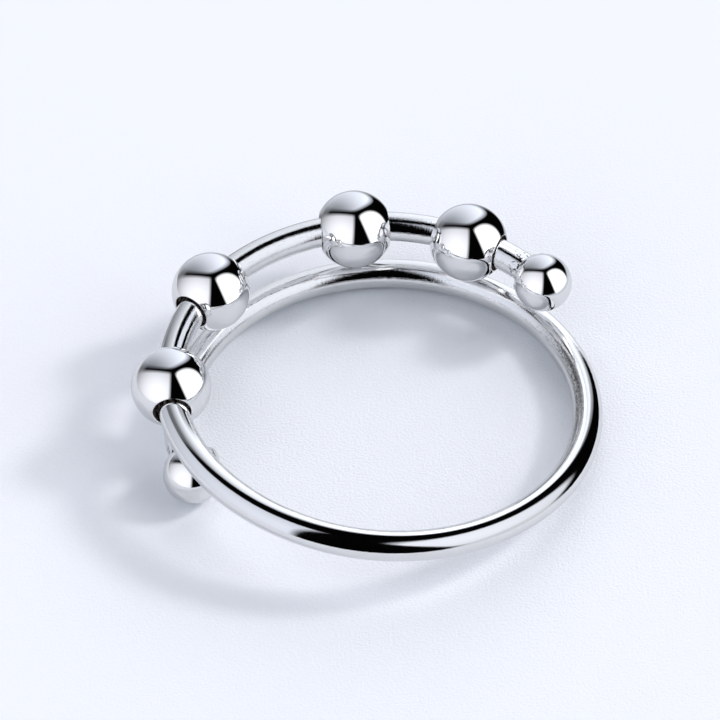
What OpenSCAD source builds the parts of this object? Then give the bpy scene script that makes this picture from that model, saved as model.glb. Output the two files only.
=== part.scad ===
// Spinner ring: one round wire wound about one and a half turns round the finger, with a ball
// soldered on each end and four drilled beads that slide and spin on its upper arm.
// It lies on its side, +Z up. The origin is on the axis of the lower arm, at the surface that
// the ring lies on: the lower ball and one spot of the lower arm touch that surface.
// The wire is a chain of flat bends: the upper arm, two quarter turns that cross over to the
// front, and the lower arm. Each bend is rolled about the wire against the one before it.

/* [Wire] */
// Diameter of the round wire
wire_d = 1.5; // [1.2:0.1:1.8]
// Inside diameter of the upper arm and of the crossover
inner_d = 19.6; // [16:0.2:22]
// How much narrower the lower arm is inside
lower_tuck = 0.5; // [0:0.1:1]
// Turn of the upper arm, in degrees
upper_turn = 168; // [160:1:175]
// Turn of the lower arm, in degrees
lower_turn = 176.5; // [170:0.5:178]
// Direction of the lower end as seen from above, in degrees from +X
lower_end_at = 200.6; // [190:0.1:215]
// Turn along the wire from the lower end back to the spot where the wire touches the surface
rest_turn = 138.6; // [125:0.1:150]

/* [End balls] */
// Diameter of the ball soldered on each end of the wire
end_ball_d = 2.95; // [2.2:0.05:3.6]
// Gap kept between the lower ball and the wire that passes over it
end_ball_gap = 0.2; // [0.05:0.05:0.5]

/* [Beads] */
// Diameter of a bead
bead_d = 4; // [3.4:0.1:4.6]
// Play between the wire and the bore of a bead, all round
bore_play = 0.2; // [0.15:0.05:0.5]
// Chamfer at the two mouths of a bore
mouth_chamfer = 0.08; // [0.02:0.02:0.2]
// Gap kept between the lower arm and a bead that slides over it
bead_gap = 0.05; // [0.04:0.02:0.4]
// Place of the first bead, as a turn along the wire from its upper end, in degrees
bead_1_at = 26; // [22:1:30]
// Place of the second bead
bead_2_at = 59; // [54:1:70]
// Place of the third bead
bead_3_at = 107; // [96:1:114]
// Place of the fourth bead
bead_4_at = 145; // [138:1:150]

/* [Hidden] */
$fn = 64;
overrun = 0.1;

// Two bends meet in a ball, a hair thicker than the wire, so that any roll leaves one solid
joint_gap = 0.02;
joint_swell = 0.01;
joint_d = wire_d + joint_swell;

// Centreline radii of the bends, and the tilt at which the lower arm rests on its ball
upper_r = (inner_d + wire_d) / 2;
lower_r = upper_r - lower_tuck / 2;
rest_tilt = asin((end_ball_d - wire_d) / 2 / (lower_r * (1 - cos(rest_turn))));

// Beads: a bead hangs by three tenths of its play, and the bow of the wire is centred in its bore
bead_at = [bead_1_at, bead_2_at, bead_3_at, bead_4_at];
bore_d = wire_d + 2 * bore_play;
bead_half = sqrt(pow(bead_d / 2, 2) - pow(bore_d / 2, 2));
bead_drop = bore_play * 0.3;
bead_inset = (upper_r - sqrt(pow(upper_r, 2) - pow(bead_half, 2))) / 2;

// Height that the upper arm needs over the lower one, under a bead and over the lower ball
bead_rise = (bead_d + wire_d) / 2 + bead_drop + bead_gap;
ball_rise = (end_ball_d + wire_d) / 2 + end_ball_gap;

// Turn along the upper arm, counted from the crossover, at which the first bead stops against
// the ball on its end, and at which the fourth bead stops against the lower ball
ball_reach = sqrt(pow(end_ball_d / 2, 2) - pow(min(bore_d, end_ball_d) / 2, 2));
first_stop = upper_turn - (bead_half + ball_reach) / (upper_r - bore_d / 2) * 180 / PI;
ball_aside = sqrt(max(0, pow((bead_d + end_ball_d) / 2, 2) - pow(bead_rise, 2)));
last_stop = 180 - lower_turn + 2 * asin(ball_aside / 2 / upper_r);

// Roll from one bend to the next, half as much in the middle of the crossover. It lifts the
// upper arm over the lower one by upper_r * sin(cross_roll) * lift(turn from the crossover).
function lift(turn) = 2.5 + 0.5 * sin(turn);
needed_lift = max(bead_rise / lift(first_stop), bead_rise / lift(last_stop), ball_rise / lift(0));
cross_roll = asin(needed_lift / upper_r);
middle_roll = cross_roll / 2;

// Places children, drawn in the plane of the lower arm, as the ring lies on the surface
module at_rest() {
    translate([0, 0, wire_d / 2 + lower_r * sin(rest_tilt)])
        rotate([0, 0, lower_end_at - rest_turn])
            rotate([0, rest_tilt, 0])
                rotate([0, 0, rest_turn - lower_turn])
                    children();
}

// Places children in the plane of the bend that ends where a bend of radius r begins
module bend_before(r, roll) {
    translate([r, 0, 0])
        rotate([0, roll, 0])
            translate([-upper_r, 0, 0])
                children();
}

// Places children in the plane of the crossover's second quarter turn
module in_second_quarter() {
    bend_before(lower_r, cross_roll) children();
}

// Places children in the plane of the crossover's first quarter turn
module in_first_quarter() {
    in_second_quarter() rotate([0, 0, -90]) bend_before(upper_r, middle_roll) children();
}

// Places children in the plane of the upper arm
module in_upper_arm() {
    in_first_quarter() rotate([0, 0, -90]) bend_before(upper_r, cross_roll) children();
}

// A bend stops a hair short of the middle of each joint
module bend(r, turn) {
    short_by = sign(turn) * joint_gap / r * 180 / PI;
    rotate([0, 0, short_by])
        rotate_extrude(angle = turn - 2 * short_by)
            translate([r, 0])
                circle(d = wire_d);
}

// A bend with the ball that joins it to the bend before it
module joined_bend(r, turn) {
    translate([r, 0, 0]) sphere(d = joint_d);
    bend(r, turn);
}

module end_ball(r, turn) {
    rotate([0, 0, turn]) translate([r, 0, 0]) sphere(d = end_ball_d);
}

module bore_mouth() {
    translate([0, 0, bead_half - mouth_chamfer])
        cylinder(d1 = bore_d, d2 = bore_d + 2 * (mouth_chamfer + overrun), h = mouth_chamfer + overrun);
}

module drilled_bead() {
    difference() {
        sphere(d = bead_d);
        cylinder(d = bore_d, h = bead_d + 2 * overrun, center = true);
        bore_mouth();
        mirror([0, 0, 1]) bore_mouth();
    }
}

// The wire and its two soldered balls are one piece of metal
module band() {
    color("silver") at_rest() {
        bend(lower_r, lower_turn);
        end_ball(lower_r, lower_turn);
        in_second_quarter() joined_bend(upper_r, -90);
        in_first_quarter() joined_bend(upper_r, -90);
        in_upper_arm() {
            joined_bend(upper_r, -upper_turn);
            end_ball(upper_r, -upper_turn);
        }
    }
}

module bead(turn) {
    color("gainsboro") at_rest() in_upper_arm()
        rotate([0, 0, turn - upper_turn])
            translate([upper_r - bead_inset, 0, -bead_drop])
                rotate([90, 0, 0])
                    drilled_bead();
}

band();
for (i = [0:3]) {
    bead(bead_at[i]);
}
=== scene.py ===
from math import asin, cos, degrees, pi, radians, sin, sqrt
import bmesh
import bpy
from mathutils import Matrix, Quaternion, Vector, noise


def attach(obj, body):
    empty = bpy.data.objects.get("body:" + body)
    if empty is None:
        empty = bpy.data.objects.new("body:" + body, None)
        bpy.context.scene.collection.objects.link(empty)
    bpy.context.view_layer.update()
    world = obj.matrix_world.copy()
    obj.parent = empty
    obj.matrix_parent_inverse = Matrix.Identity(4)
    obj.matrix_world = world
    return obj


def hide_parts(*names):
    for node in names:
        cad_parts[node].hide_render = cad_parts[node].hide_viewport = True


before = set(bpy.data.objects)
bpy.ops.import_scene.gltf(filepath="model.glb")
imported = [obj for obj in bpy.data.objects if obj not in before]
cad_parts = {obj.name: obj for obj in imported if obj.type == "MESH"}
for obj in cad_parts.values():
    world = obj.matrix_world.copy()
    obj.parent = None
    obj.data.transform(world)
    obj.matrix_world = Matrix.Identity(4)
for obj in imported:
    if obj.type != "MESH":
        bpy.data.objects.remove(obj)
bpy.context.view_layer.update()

# Camera. A long lens looks down at the ring from the front and leans a little to one side.
# It aims at a spot on the table just behind the middle of the ring.
AIM = Vector((-0.00097, 0.00493, 0.0))
ELEVATION = 46.57
LEAN = -3.43
DISTANCE = 0.2435
LENS = 237.3
SENSOR_WIDTH = 36.0
NEAREST_SEEN = 0.01

toward_camera = Vector((0.0, -cos(radians(ELEVATION)), sin(radians(ELEVATION))))
camera = bpy.data.objects.new("camera", bpy.data.cameras.new("camera"))
camera.data.lens = LENS
camera.data.sensor_width = SENSOR_WIDTH
camera.data.clip_start = NEAREST_SEEN
camera.location = AIM + toward_camera * DISTANCE
camera.rotation_mode = "QUATERNION"
leaning = Quaternion(toward_camera, radians(LEAN))
camera.rotation_quaternion = leaning @ toward_camera.to_track_quat("Z", "Y")
bpy.context.scene.collection.objects.link(camera)
bpy.context.scene.camera = camera
bpy.context.scene.view_settings.view_transform = "Standard"

# Band. One length of round silver wire, bent round the finger about one and a half times,
# with a ball soldered on each end. It is drawn wire, tumbled and buffed to a mirror.
MM = 0.001
WIRE_R = 0.75 * MM
UPPER_R = 10.55 * MM
LOWER_R = 10.3 * MM
END_BALL_R = 1.475 * MM
SOLDER_FILLET = 0.11 * MM

# Turns in degrees: of each arm, from +X to the lower end, and from there back to the spot
# where the wire touches the table. The roll lifts the upper arm over the lower one.
UPPER_TURN = 168.0
LOWER_TURN = 176.5
LOWER_END_AT = 200.6
REST_TURN = 138.6
CROSS_ROLL = 5.932284

# Faces that meet at a sharper angle than this, in radians, keep their edge
SHARP_FROM = 1.0
ROUND_STEPS = 64


def turned(axis, angle):
    return Matrix.Rotation(radians(angle), 4, axis)


def bend_before(radius, roll):
    """The plane of the bend that ends where a bend of that radius begins."""
    start = Matrix.Translation((radius, 0.0, 0.0))
    return start @ turned("Y", roll) @ Matrix.Translation((-UPPER_R, 0.0, 0.0))


# The ring leans on its lower ball, which is thicker than the wire
rest_tilt = asin((END_BALL_R - WIRE_R) / (LOWER_R * (1 - cos(radians(REST_TURN)))))
lift = Matrix.Translation((0.0, 0.0, WIRE_R + LOWER_R * sin(rest_tilt)))
lower_arm = lift @ turned("Z", LOWER_END_AT - REST_TURN) @ turned("Y", degrees(rest_tilt))
lower_arm = lower_arm @ turned("Z", REST_TURN - LOWER_TURN)
second_quarter = lower_arm @ bend_before(LOWER_R, CROSS_ROLL)
first_quarter = second_quarter @ turned("Z", -90) @ bend_before(UPPER_R, CROSS_ROLL / 2)
upper_arm = first_quarter @ turned("Z", -90) @ bend_before(UPPER_R, CROSS_ROLL)

# The fillet's centre lies this far down the wire from the centre of the ball
neck = sqrt((END_BALL_R + SOLDER_FILLET) ** 2 - (WIRE_R + SOLDER_FILLET) ** 2)


def neck_turn(radius):
    return degrees(2 * asin(neck / 2 / radius))


def across_wire(plane, radius, turn):
    """Places a circle across the wire, at that turn of its bend."""
    return plane @ turned("Z", turn) @ Matrix.Translation((radius, 0.0, 0.0)) @ turned("X", 90)


def cut_wire(plane, radius, turn):
    """A new mesh with the flat end of the wire."""
    bm = bmesh.new()
    placed = across_wire(plane, radius, turn)
    bmesh.ops.create_circle(bm, matrix=placed, cap_ends=True, segments=ROUND_STEPS, radius=WIRE_R)
    return bm


def spun(bm, edges, plane, turn):
    """Sweeps the loop of edges round a bend and returns the loop at its far end."""
    made = bmesh.ops.spin(
        bm,
        geom=edges,
        cent=plane.translation,
        axis=plane.to_3x3() @ Vector((0.0, 0.0, 1.0)),
        angle=radians(turn),
        steps=max(1, round(abs(turn))),
        use_duplicate=False,
    )
    return [g for g in made["geom_last"] if isinstance(g, bmesh.types.BMEdge)]


def linked(name, bm):
    """Makes the mesh an object of the scene, smooth apart from its sharp edges."""
    bmesh.ops.recalc_face_normals(bm, faces=bm.faces)
    for face in bm.faces:
        face.smooth = True
    for edge in bm.edges:
        edge.smooth = edge.calc_face_angle(0.0) < SHARP_FROM
    mesh = bpy.data.meshes.new(name)
    bm.to_mesh(mesh)
    bm.free()
    made = bpy.data.objects.new(name, mesh)
    bpy.context.scene.collection.objects.link(made)
    return made


lower_stop = LOWER_TURN - neck_turn(LOWER_R)
upper_stop = -UPPER_TURN + neck_turn(UPPER_R)
bm = cut_wire(lower_arm, LOWER_R, lower_stop)
loop = spun(bm, bm.edges[:], lower_arm, -lower_stop)
loop = spun(bm, loop, second_quarter, -90)
loop = spun(bm, loop, first_quarter, -90)
loop = spun(bm, loop, upper_arm, upper_stop)
bmesh.ops.contextual_create(bm, geom=loop)
wire = linked("band_wire", bm)
upper_neck = upper_arm @ turned("Z", upper_stop) @ Vector((UPPER_R, 0.0, 0.0))
lower_neck = lower_arm @ turned("Z", lower_stop) @ Vector((LOWER_R, 0.0, 0.0))


class Socket:
    """A node's output. Sums, products and powers of it add their Math nodes."""

    def __init__(self, shader, out):
        self.shader = shader
        self.out = out

    def math(self, operation, a, b, clamp=False):
        settings = {"operation": operation, "use_clamp": clamp}
        return self.shader.node("ShaderNodeMath", settings, {0: a, 1: b})

    def __add__(self, other):
        return self.math("ADD", self, other)

    def __radd__(self, other):
        return self.math("ADD", other, self)

    def __sub__(self, other):
        return self.math("SUBTRACT", self, other)

    def __rsub__(self, other):
        return self.math("SUBTRACT", other, self)

    def __mul__(self, other):
        return self.math("MULTIPLY", self, other)

    def __rmul__(self, other):
        return self.math("MULTIPLY", other, self)

    def __truediv__(self, other):
        return self.math("DIVIDE", self, other)

    def __pow__(self, other):
        return self.math("POWER", self, other)

    def at_least(self, low):
        return self.math("MAXIMUM", self, low)

    def ramp(self, none, full):
        """0 at none, 1 at full, a straight run between them and level past them."""
        return self.math("MULTIPLY", self - none, 1 / (full - none), clamp=True)


class Shader:
    """The node tree of a material or of the world."""

    def __init__(self, owner):
        owner.use_nodes = True
        self.tree = owner.node_tree
        self.tree.nodes.clear()

    def node(self, kind, settings, sockets, output=0):
        made = self.tree.nodes.new(kind)
        for name, value in settings.items():
            setattr(made, name, value)
        for name, value in sockets.items():
            if isinstance(value, Socket):
                self.tree.links.new(value.out, made.inputs[name])
            else:
                made.inputs[name].default_value = value
        return Socket(self, made.outputs[output]) if made.outputs else made

    def place(self):
        return self.node("ShaderNodeTexCoord", {}, {}, "Object")

    def cloud(self, place, scale, detail=2.0):
        """Noise that changes about that many times a metre."""
        sockets = {"Vector": place, "Scale": scale, "Detail": detail}
        return self.node("ShaderNodeTexNoise", {}, sockets)

    def distance(self, place, spot):
        points = {0: place, 1: spot}
        return self.node("ShaderNodeVectorMath", {"operation": "DISTANCE"}, points, "Value")

    def blend(self, part, one, other):
        """One colour, and more and more of the other as part grows from 0 to 1."""
        colours = {0: part, 6: one, 7: other}
        return self.node("ShaderNodeMix", {"data_type": "RGBA"}, colours, 2)

    def relief(self, height, depth):
        return self.node("ShaderNodeBump", {}, {"Height": height, "Distance": depth})

    def surface(self, sockets):
        made = self.node("ShaderNodeBsdfPrincipled", {}, sockets)
        self.node("ShaderNodeOutputMaterial", {}, {"Surface": made})


SILVER = (0.925, 0.925, 0.93, 1.0)

# Pits lie where solder ran, within this reach of a neck, and thickest nearer to it
PIT_COLOUR = (0.06, 0.055, 0.06, 1.0)
PIT_GRAIN = 5500.0
PIT_SPECKS = (0.56, 0.6314)
PITS_REACH = 1.15 * MM
PITS_THICKEST = PITS_REACH * 2 / 3

# How often marks change round the ring and, per metre, across the wire, and how deep they are
STREAKS = (5.0, 7000.0)
RIPPLES = (38.0, 500.0)
BACK = (0.8 * MM, 4.8 * MM)
MARK_DEPTH = 0.002 * MM
STREAK_DEPTH = 0.4
STREAK_DEPTH_AT_BACK = 1.5
RIPPLE_DEPTH_AT_BACK = 2.2
DEEP_STREAKS = (0.63, 0.741)

# The worn stretch of the inside, low at the right, with painted shade: where along each measure it
# begins, and where it is full
WORN_AND_SHADED_STRETCH = [
    ("out", 10.3 * MM, 9.95 * MM),
    ("out", 9.65 * MM, 9.775 * MM),
    ("right", 0.0, 3.33 * MM),
    ("back", 5.8 * MM, 2.94 * MM),
    ("back", -6.0 * MM, -2.0 * MM),
    ("up", 4.5 * MM, 3.5 * MM),
]
SCUFF_AND_SHADE_COLOUR = (0.12, 0.105, 0.095, 1.0)
SCUFF_GRAIN = 10500.0
SCUFF_SPECKS = (0.45, 0.593)
SPECKS_DARKEN = 0.45
# Painted shade: how much the worn stretch is darkened evenly, beyond its wear specks
INSIDE_SHADE_DARKENS = 0.35
STREAKS_DARKEN = 0.35
BUFFED = 0.01
STREAKS_BLUR = 0.09
WEAR_BLURS = 0.15


def pitted(silver, place, *spots):
    """Silver with dark pits round the spots where solder ran."""
    near = 0.0
    for spot in spots:
        near = near + silver.distance(place, spot).ramp(PITS_REACH, PITS_THICKEST)
    pits = silver.cloud(place, PIT_GRAIN).ramp(*PIT_SPECKS) * near
    return silver.blend(pits, SILVER, PIT_COLOUR)


def drawn_silver(name):
    """Silver with fine marks along the wire, ripples across its back and a worn inside, with painted
    shade on the inside low at the right.
    """
    material = bpy.data.materials.new(name)
    silver = Shader(material)
    place = silver.place()
    x = silver.node("ShaderNodeSeparateXYZ", {}, {"Vector": place}, "X")
    y = silver.node("ShaderNodeSeparateXYZ", {}, {"Vector": place}, "Y")
    z = silver.node("ShaderNodeSeparateXYZ", {}, {"Vector": place}, "Z")
    out = (x * x + y * y) ** 0.5
    marks = []
    for around, across in [STREAKS, RIPPLES]:
        unrolled = {"X": x / out * around, "Y": y / out * around, "Z": out * across}
        spot = silver.node("ShaderNodeCombineXYZ", {}, unrolled)
        sockets = {"Vector": spot, "W": z * across, "Detail": 2.0}
        marks.append(silver.node("ShaderNodeTexNoise", {"noise_dimensions": "4D"}, sockets))
    streaks, ripples = marks
    at_back = y.ramp(*BACK)
    height = streaks * (at_back * STREAK_DEPTH_AT_BACK + STREAK_DEPTH)
    height = height + ripples * at_back * RIPPLE_DEPTH_AT_BACK

    measures = {"out": out, "right": x, "back": y, "up": z}
    worn_and_shaded = 1.0
    for measure, begins, full in WORN_AND_SHADED_STRETCH:
        worn_and_shaded = worn_and_shaded * measures[measure].ramp(begins, full)
    specks = silver.cloud(place, SCUFF_GRAIN).ramp(*SCUFF_SPECKS)
    # The specks are wear; the even darkening of the worn stretch is painted shade
    scuffs_and_shade = specks * worn_and_shaded * SPECKS_DARKEN + worn_and_shaded * INSIDE_SHADE_DARKENS
    scuffs_and_shade = scuffs_and_shade + streaks.ramp(*DEEP_STREAKS) * at_back * STREAKS_DARKEN
    pits = pitted(silver, place, upper_neck, lower_neck)
    silver.surface(
        {
            "Base Color": silver.blend(scuffs_and_shade, pits, SCUFF_AND_SHADE_COLOUR),
            "Metallic": 1.0,
            "Roughness": BUFFED + streaks * STREAKS_BLUR + worn_and_shaded * WEAR_BLURS,
            "Normal": silver.relief(height, MARK_DEPTH),
        }
    )
    return material


wire.data.materials.append(drawn_silver("wire_silver"))
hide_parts("band")
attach(wire, "band")

# Balls on the ends. Each is a bead of silver, soldered on where the wire is cut, with a small
# fillet of solder round the neck. The lower one has a low drop of solder on its side.
FILLET_STEPS = 8
BALL_STEPS = 40
SOLDER_RUN = 0.6 * MM
SOLDER_LUMPS = 0.12 * MM
LUMP_GRAIN = 3600.0
DROP_TOWARD = Vector((0.707, 0.513, 0.486))
DROP_HEIGHT = 0.17 * MM
DROP_SPREAD = 0.6
DROP_GRAIN = 3000.0
DROP_UNEVEN = 0.5
POLISHED = 0.02
HAZE = 0.03
HAZE_GRAIN = 900.0


def polished_silver(name, *necks):
    """Mirror silver, pitted round the necks if there are any."""
    material = bpy.data.materials.new(name)
    silver = Shader(material)
    place = silver.place()
    colour = pitted(silver, place, *necks) if necks else SILVER
    roughness = POLISHED + silver.cloud(place, HAZE_GRAIN) * HAZE
    silver.surface({"Base Color": colour, "Metallic": 1.0, "Roughness": roughness})
    return material


ball_silver = polished_silver("ball_silver", upper_neck, lower_neck)


def neck_and_ball_rings():
    """How far down toward the wire each ring lies, how wide it is and how far it has swung."""
    full = asin(neck / (END_BALL_R + SOLDER_FILLET))
    rings = []
    for i in range(1, FILLET_STEPS + 1):
        a = full * i / FILLET_STEPS
        out = WIRE_R + SOLDER_FILLET * (1 - cos(a))
        rings.append((neck - SOLDER_FILLET * sin(a), out, i / FILLET_STEPS))
    for i in range(1, BALL_STEPS):
        a = pi / 2 - full + (pi / 2 + full) * i / BALL_STEPS
        rings.append((END_BALL_R * cos(a), END_BALL_R * sin(a), 1.0))
    return rings


def lump_solder(bm, centre, outward, drop):
    """Pushes the solder round the neck in and out, and raises the drop if there is one."""
    for vert in bm.verts:
        down = (vert.co - centre).dot(outward)
        run = min(1.0, max(0.0, (down + neck) / SOLDER_RUN))
        aside = (vert.co - centre - outward * down).normalized()
        vert.co += aside * noise.noise(vert.co * LUMP_GRAIN) * sin(pi * run) * SOLDER_LUMPS
        if drop:
            off = (vert.co - centre).angle(DROP_TOWARD) / DROP_SPREAD
            height = DROP_HEIGHT * (1.0 + DROP_UNEVEN * noise.noise(vert.co * DROP_GRAIN))
            vert.co += DROP_TOWARD * height * max(0.0, 1.0 - off * off) ** 2


def soldered_ball(name, plane, radius, turn, ends_at, drop):
    """Grows the fillet of solder and the ball out of a circle at the end of the wire."""
    before = plane @ turned("Z", turn) @ Vector((radius, 0.0, 0.0))
    centre = plane @ turned("Z", ends_at) @ Vector((radius, 0.0, 0.0))
    outward = (centre - before).normalized()
    tangent = plane.to_3x3() @ turned("Z", turn).to_3x3() @ Vector((0.0, 1.0, 0.0))
    tangent = tangent if tangent.dot(outward) > 0 else -tangent
    swing = tangent.rotation_difference(outward)
    bm = cut_wire(plane, radius, turn)
    edges = bm.edges[:]
    was = Matrix.Translation(before)
    for down, out, part in neck_and_ball_rings():
        facing = Quaternion().slerp(swing, part).to_matrix().to_4x4()
        size = Matrix.Scale(out / WIRE_R, 4)
        now = Matrix.Translation(centre - outward * down) @ facing @ size
        grown = bmesh.ops.extrude_edge_only(bm, edges=edges)["geom"]
        edges = [g for g in grown if isinstance(g, bmesh.types.BMEdge) and g.is_boundary]
        verts = [g for g in grown if isinstance(g, bmesh.types.BMVert)]
        bmesh.ops.transform(bm, matrix=now @ was.inverted(), verts=verts)
        was = now
    grown = bmesh.ops.extrude_edge_only(bm, edges=edges)["geom"]
    verts = [g for g in grown if isinstance(g, bmesh.types.BMVert)]
    bmesh.ops.pointmerge(bm, verts=verts, merge_co=centre + outward * END_BALL_R)
    lump_solder(bm, centre, outward, drop)
    ball = linked(name, bm)
    ball.data.materials.append(ball_silver)
    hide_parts("band")
    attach(ball, "band")
    return ball


upper_end = (upper_arm, UPPER_R, upper_stop, -UPPER_TURN)
lower_end = (lower_arm, LOWER_R, lower_stop, LOWER_TURN)
upper_ball = soldered_ball("band_upper_ball", *upper_end, drop=False)
lower_ball = soldered_ball("band_lower_ball", *lower_end, drop=True)

# Beads. Four round silver beads, each drilled through and threaded loose on the upper arm,
# so that they slide and spin. They hang on the wire, and the bow of the wire fits the bore.
BEAD_R = 2.0 * MM
BORE_R = 0.95 * MM
BEAD_DROP = 0.06 * MM
MOUTH_ROUND = 0.04 * MM
BEADS_AT = {"bead_1": 26.0, "bead_2": 59.0, "bead_3": 107.0, "bead_4": 145.0}
BORE_STEPS = 6
MOUTH_STEPS = 8
BEAD_STEPS = 24
STEPS_AROUND = 128
MERGED_WITHIN = 0.001 * MM
BORE_COLOUR = (0.05, 0.045, 0.045, 1.0)
GRIME_AND_GLOW_COLOUR = (0.7, 0.6, 0.57, 1.0)
GRIME_GRAIN = 3500.0
GRIME_DETAIL = 4.0
GRIME_SPECKS = (0.48, 0.647)
GRIME_BLURS = 0.2
BORE_ROUGHNESS = 0.25
# Painted light: how brightly the inside of a bore glows
BORE_PAINTED_GLOW = 0.035

bead_half = sqrt(BEAD_R**2 - BORE_R**2)
bead_inset = (UPPER_R - sqrt(UPPER_R**2 - bead_half**2)) / 2
mouth_up = sqrt((BEAD_R - MOUTH_ROUND) ** 2 - (BORE_R + MOUTH_ROUND) ** 2)
mouth_lean = asin(mouth_up / (BEAD_R - MOUTH_ROUND))


def bored_silver(name):
    """The unpolished inside of a bore, dark with lighter grime, and a faint glow of painted light in
    that tone.
    """
    material = bpy.data.materials.new(name)
    bore = Shader(material)
    grime = bore.cloud(bore.place(), GRIME_GRAIN, GRIME_DETAIL).ramp(*GRIME_SPECKS)
    tone = bore.blend(grime, BORE_COLOUR, GRIME_AND_GLOW_COLOUR)
    bore.surface(
        {
            "Base Color": tone,
            "Metallic": 1.0,
            "Roughness": BORE_ROUGHNESS + grime * GRIME_BLURS,
            # Painted light: the bore glows faintly in the colour of its dark metal and grime
            "Emission Color": tone,
            "Emission Strength": BORE_PAINTED_GLOW,
        }
    )
    return material


def bead_profile():
    """Half of the section from the middle of the bore over its mouth to the widest point."""
    half = [(BORE_R, mouth_up * i / BORE_STEPS) for i in range(BORE_STEPS)]
    for i in range(MOUTH_STEPS + 1):
        a = pi - (pi - mouth_lean) * i / MOUTH_STEPS
        half.append((BORE_R + MOUTH_ROUND + MOUTH_ROUND * cos(a), mouth_up + MOUTH_ROUND * sin(a)))
    for i in range(1, BEAD_STEPS + 1):
        a = mouth_lean * (1 - i / BEAD_STEPS)
        half.append((BEAD_R * cos(a), BEAD_R * sin(a)))
    return half


def drilled_bead():
    """A bead round its bore, with the bore's faces in the second material."""
    bm = bmesh.new()
    points = [bm.verts.new((out, 0.0, up)) for out, up in bead_profile()]
    for one, other in zip(points, points[1:]):
        bm.edges.new((one, other))
    spin_axis = {"cent": (0, 0, 0), "axis": (0, 0, 1), "angle": 2 * pi, "steps": STEPS_AROUND}
    bmesh.ops.spin(bm, geom=bm.verts[:] + bm.edges[:], use_merge=True, **spin_axis)
    half = bm.verts[:] + bm.edges[:] + bm.faces[:]
    bmesh.ops.mirror(bm, geom=half, axis="Z", merge_dist=MERGED_WITHIN)
    bmesh.ops.remove_doubles(bm, verts=bm.verts, dist=MERGED_WITHIN / 10)
    for face in bm.faces:
        if face.calc_center_median().xy.length < BORE_R:
            face.material_index = 1
    return bm


bead_silver = polished_silver("bead_silver")
bore_dark_and_glow = bored_silver("bore_dark_and_glow")
beads = []
for name, turn in BEADS_AT.items():
    bm = drilled_bead()
    on_wire = upper_arm @ turned("Z", turn - UPPER_TURN)
    hang = Matrix.Translation((UPPER_R - bead_inset, 0.0, -BEAD_DROP)) @ turned("X", 90)
    bmesh.ops.transform(bm, matrix=on_wire @ hang, verts=bm.verts)
    bead = linked(name + "_ball", bm)
    bead.data.materials.append(bead_silver)
    bead.data.materials.append(bore_dark_and_glow)
    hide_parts(name)
    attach(bead, name)
    beads.append(bead)

# Table. A sheet of pale, finely textured card. The silver doesn't mirror the sheet but a darker
# sheet of painted shade that lies on it round the ring, and past that sheet it mirrors the tents.
TABLE_REACH = 0.6
TABLE_COLOUR = (0.877, 0.918, 0.975, 1.0)
TABLE_ROUGHNESS = 0.75
PATCH_LEFT = -0.032
PATCH_RIGHT = 0.017
PATCH_FRONT = -0.028
PATCH_BACK = 0.015
PATCH_TURN = -12.0
PATCH_LIFT = 0.01 * MM
# Painted shade: the greyer colour that the silver mirrors round the ring, for the table's shade
# there
PAINTED_SHADE_COLOUR = (0.7, 0.73, 0.77, 1.0)
GRAIN = 7500.0
GRAIN_DEPTH = 0.065 * MM
GRAIN_SPOT = (0.005, -0.003, 0.0)
GRAIN_REACH = 0.037


def table_card(name, colour):
    """Card with a fine grain, which fades out where the lens isn't in focus."""
    material = bpy.data.materials.new(name)
    card = Shader(material)
    place = card.place()
    in_focus = card.distance(place, GRAIN_SPOT).ramp(GRAIN_REACH, 0.0)
    relief = card.relief(card.cloud(place, GRAIN) * in_focus, GRAIN_DEPTH)
    card.surface({"Base Color": colour, "Roughness": TABLE_ROUGHNESS, "Normal": relief})
    return material


def table_sheet(name, colour, size, placed):
    bm = bmesh.new()
    bmesh.ops.create_grid(bm, x_segments=1, y_segments=1, size=0.5)
    bmesh.ops.transform(bm, matrix=placed @ Matrix.Diagonal((*size, 1.0, 1.0)), verts=bm.verts)
    sheet = linked(name, bm)
    sheet.data.materials.append(table_card(name, colour))
    return sheet


table = table_sheet("table", TABLE_COLOUR, (2 * TABLE_REACH, 2 * TABLE_REACH), Matrix())
table.visible_glossy = False
patch_middle = ((PATCH_LEFT + PATCH_RIGHT) / 2, (PATCH_FRONT + PATCH_BACK) / 2, PATCH_LIFT)
patch_size = (PATCH_RIGHT - PATCH_LEFT, PATCH_BACK - PATCH_FRONT)
patch_at = turned("Z", PATCH_TURN) @ Matrix.Translation(patch_middle)
# The sheet of painted shade is seen only in the silver's reflections, never by the camera
painted_shade_sheet = table_sheet("painted_shade_sheet", PAINTED_SHADE_COLOUR, patch_size, patch_at)
painted_shade_sheet.visible_camera = False
painted_shade_sheet.visible_diffuse = False
painted_shade_sheet.visible_shadow = False

# Light tents. White panels lean together round the ring, with dark gaps between them, and meet
# the table's light at the horizon. The beads and the balls are lit by one set of panels, the
# fourth bead and the balls down to a lower horizon, and the wire by a set of its own.

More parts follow.
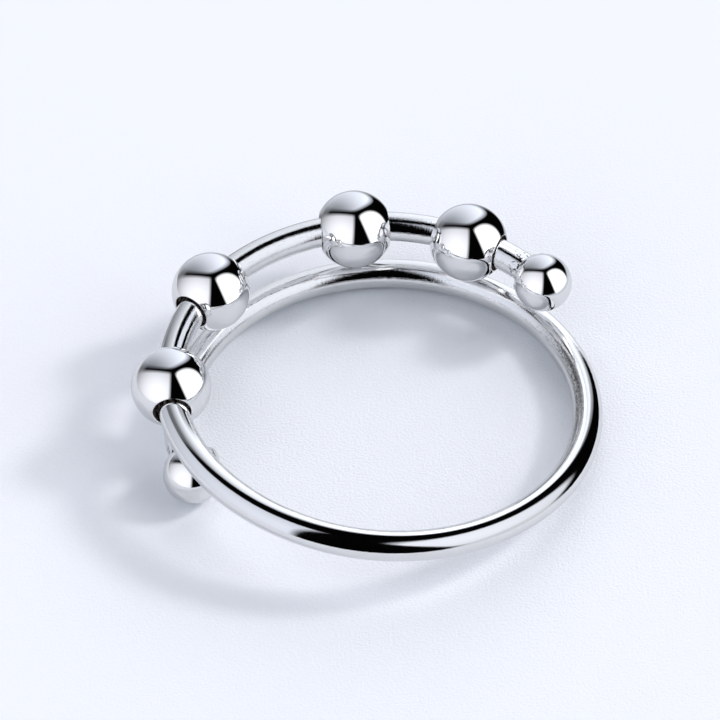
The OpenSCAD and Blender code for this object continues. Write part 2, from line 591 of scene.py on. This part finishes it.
# A panel is where round discs of the sky overlap. Its light grows toward one spot.
# Spots are given as degrees to the right of the lens and degrees above the table.
# Where panels overlap, the later one hides the earlier one.
ROUND_TENT = [
    # discs: azimuth, elevation, reach | tint | light: level, slope | brightest toward
    ([(-145, -20, 42)], (0.95, 0.98, 1.05), (0.16, 0.0), (0, 0)),
    ([(-164, -30, 36)], (0.95, 0.98, 1.05), (0.45, 0.0), (0, 0)),
    ([(172, 26, 56), (-156, 30, 55)], (0.93, 0.98, 1.1), (0.59, 0.8), (114, -7)),
    ([(-92, 6, 88), (-13, -26, 115)], (0.97, 0.98, 1.05), (0.3, 0.87), (-42, 21)),
    ([(112, 8, 72), (53, 14, 62)], (0.98, 1.0, 1.02), (1.6, 0.4), (20, 0)),
]
WIRE_TENT = [
    ([(-122, -12, 90), (-168, 2, 61)], (0.96, 1.0, 1.08), (0.0, 1.4), (130, 10)),
    ([(162, 24, 14)], (0.96, 1.0, 1.08), (0.0, 1.4), (130, 10)),
    ([(-124, 6, 88), (-20, -42, 122)], (0.95, 1.0, 1.12), (0.45, 0.4), (-40, 20)),
    ([(125, 7, 93), (64, 30, 41)], (0.97, 1.0, 1.08), (0.45, 0.5), (50, 45)),
    ([(58, -28, 36)], (0.95, 0.98, 1.05), (0.68, 0.0), (0, 0)),
]
FAINTEST = 0.15
DARK_GAP = (0.001, 0.001, 0.001, 1.0)
TABLE_SEEN = (0.62, 0.65, 0.71, 1.0)

# A panel begins this share of its soft edge before its outline
EDGE_BEGINS = 0.2


def toward(azimuth, elevation):
    a = radians(azimuth)
    e = radians(elevation)
    return Vector((sin(a) * cos(e), -cos(a) * cos(e), sin(e)))


def facing(cloth, direction, azimuth, elevation):
    """1 straight toward that spot of the sky, and less away from it."""
    dot = {"operation": "DOT_PRODUCT"}
    spot = toward(azimuth, elevation)
    return cloth.node("ShaderNodeVectorMath", dot, {0: direction, 1: spot}, "Value")


def glow_on(made, cloth, light, lit_pieces):
    """Makes a sheet glow on some pieces only, and hides the sheet itself from the camera."""
    made.visible_camera = False
    made.visible_shadow = False
    lamp = cloth.node("ShaderNodeEmission", {}, {"Color": light, "Strength": 1.0})
    clear = cloth.node("ShaderNodeBsdfTransparent", {}, {})
    both = cloth.node("ShaderNodeAddShader", {}, {0: lamp, 1: clear})
    cloth.node("ShaderNodeOutputMaterial", {}, {"Surface": both})
    lit = bpy.data.collections.new("lit_by_" + made.name)
    for piece in lit_pieces:
        lit.objects.link(piece)
    made.light_linking.receiver_collection = lit


def light_tent(name, reach, panel_edge, panels, horizon, lit_pieces):
    """A dome of that reach round the ring, whose panels have soft edges of that width."""
    bm = bmesh.new()
    bmesh.ops.create_icosphere(bm, subdivisions=2, radius=reach)
    made = linked(name, bm)
    material = bpy.data.materials.new(name)
    made.data.materials.append(material)
    cloth = Shader(material)
    direction = cloth.node("ShaderNodeVectorMath", {"operation": "NORMALIZE"}, {0: cloth.place()})
    soft_edge = (-EDGE_BEGINS * panel_edge, (1 - EDGE_BEGINS) * panel_edge)
    light = DARK_GAP
    for discs, tint, (level, slope), brightest in panels:
        cover = 1.0
        for azimuth, elevation, disc_reach in discs:
            inside = facing(cloth, direction, azimuth, elevation) - cos(radians(disc_reach))
            cover = cover * inside.ramp(*soft_edge)
        run = (level + slope * facing(cloth, direction, *brightest)).at_least(FAINTEST)
        glow = cloth.node("ShaderNodeVectorMath", {"operation": "SCALE"}, {0: tint, "Scale": run})
        light = cloth.blend(cover, light, glow)
    below = facing(cloth, direction, 0, -90) + sin(radians(horizon))
    light = cloth.blend(below.ramp(*soft_edge), light, TABLE_SEEN)
    glow_on(made, cloth, light, lit_pieces)


TENTS = [
    # name, reach, soft edge, panels, horizon, what it lights
    ("bead_tent", 1.0, 0.15, ROUND_TENT, -26, beads[:3]),
    ("ball_tent", 1.2, 0.15, ROUND_TENT, -7, [beads[3], upper_ball, lower_ball, table, painted_shade_sheet]),
    ("wire_tent", 1.1, 0.08, WIRE_TENT, -20, [wire]),
]
for tent in TENTS:
    light_tent(*tent)

# Card. A small white card was held over the ring, to brighten the wire between two beads.
CARD_OVER = Vector((-0.0096, 0.0035, 0.005))
CARD_TOWARD = (124, 31)
CARD_AWAY = 0.022
CARD_SIZE = 0.009
CARD_LIGHT = (0.8, 0.84, 0.93, 1.0)

card_at = Matrix.Translation(CARD_OVER + toward(*CARD_TOWARD) * CARD_AWAY)
card_turn = toward(*CARD_TOWARD).to_track_quat("Z", "Y").to_matrix().to_4x4()
bm = bmesh.new()
bmesh.ops.create_grid(bm, x_segments=1, y_segments=1, size=CARD_SIZE / 2, matrix=card_at @ card_turn)
white_card = linked("white_card", bm)
material = bpy.data.materials.new("white_card")
white_card.data.materials.append(material)
glow_on(white_card, Shader(material), CARD_LIGHT, [wire])

# Backdrop. Where a low view sees past the table's edge, there is a plain pale wall. It gives
# no light.
WALL_COLOUR = (0.83, 0.87, 0.95, 1.0)

world = bpy.data.worlds.new("studio")
bpy.context.scene.world = world
studio = Shader(world)
seen = studio.node("ShaderNodeLightPath", {}, {}, "Is Camera Ray")
wall = studio.node("ShaderNodeBackground", {}, {"Color": WALL_COLOUR, "Strength": seen})
studio.node("ShaderNodeOutputWorld", {}, {"Surface": wall})

# Lamps. One to the right throws the ring's shadow on the table to the left, and a wide one
# behind shades the table inside the ring. They light the table only.
LAMPS = {
    # azimuth and elevation, strength, spread in degrees
    "key_light": ((101, 39), 0.92, 11.0),
    "back_light": ((165, 38), 0.81, 60.0),
}
LAMP_COLOUR = (1.0, 0.92, 0.905)

tables = bpy.data.collections.new("lit_by_lamps")
for sheet in [table, painted_shade_sheet]:
    tables.objects.link(sheet)
for name, (spot, strength, spread) in LAMPS.items():
    lamp = bpy.data.objects.new(name, bpy.data.lights.new(name, "SUN"))
    lamp.data.energy = strength
    lamp.data.angle = radians(spread)
    lamp.data.color = LAMP_COLOUR
    lamp.rotation_mode = "QUATERNION"
    lamp.rotation_quaternion = toward(*spot).to_track_quat("Z", "Y")
    lamp.light_linking.receiver_collection = tables
    bpy.context.scene.collection.objects.link(lamp)
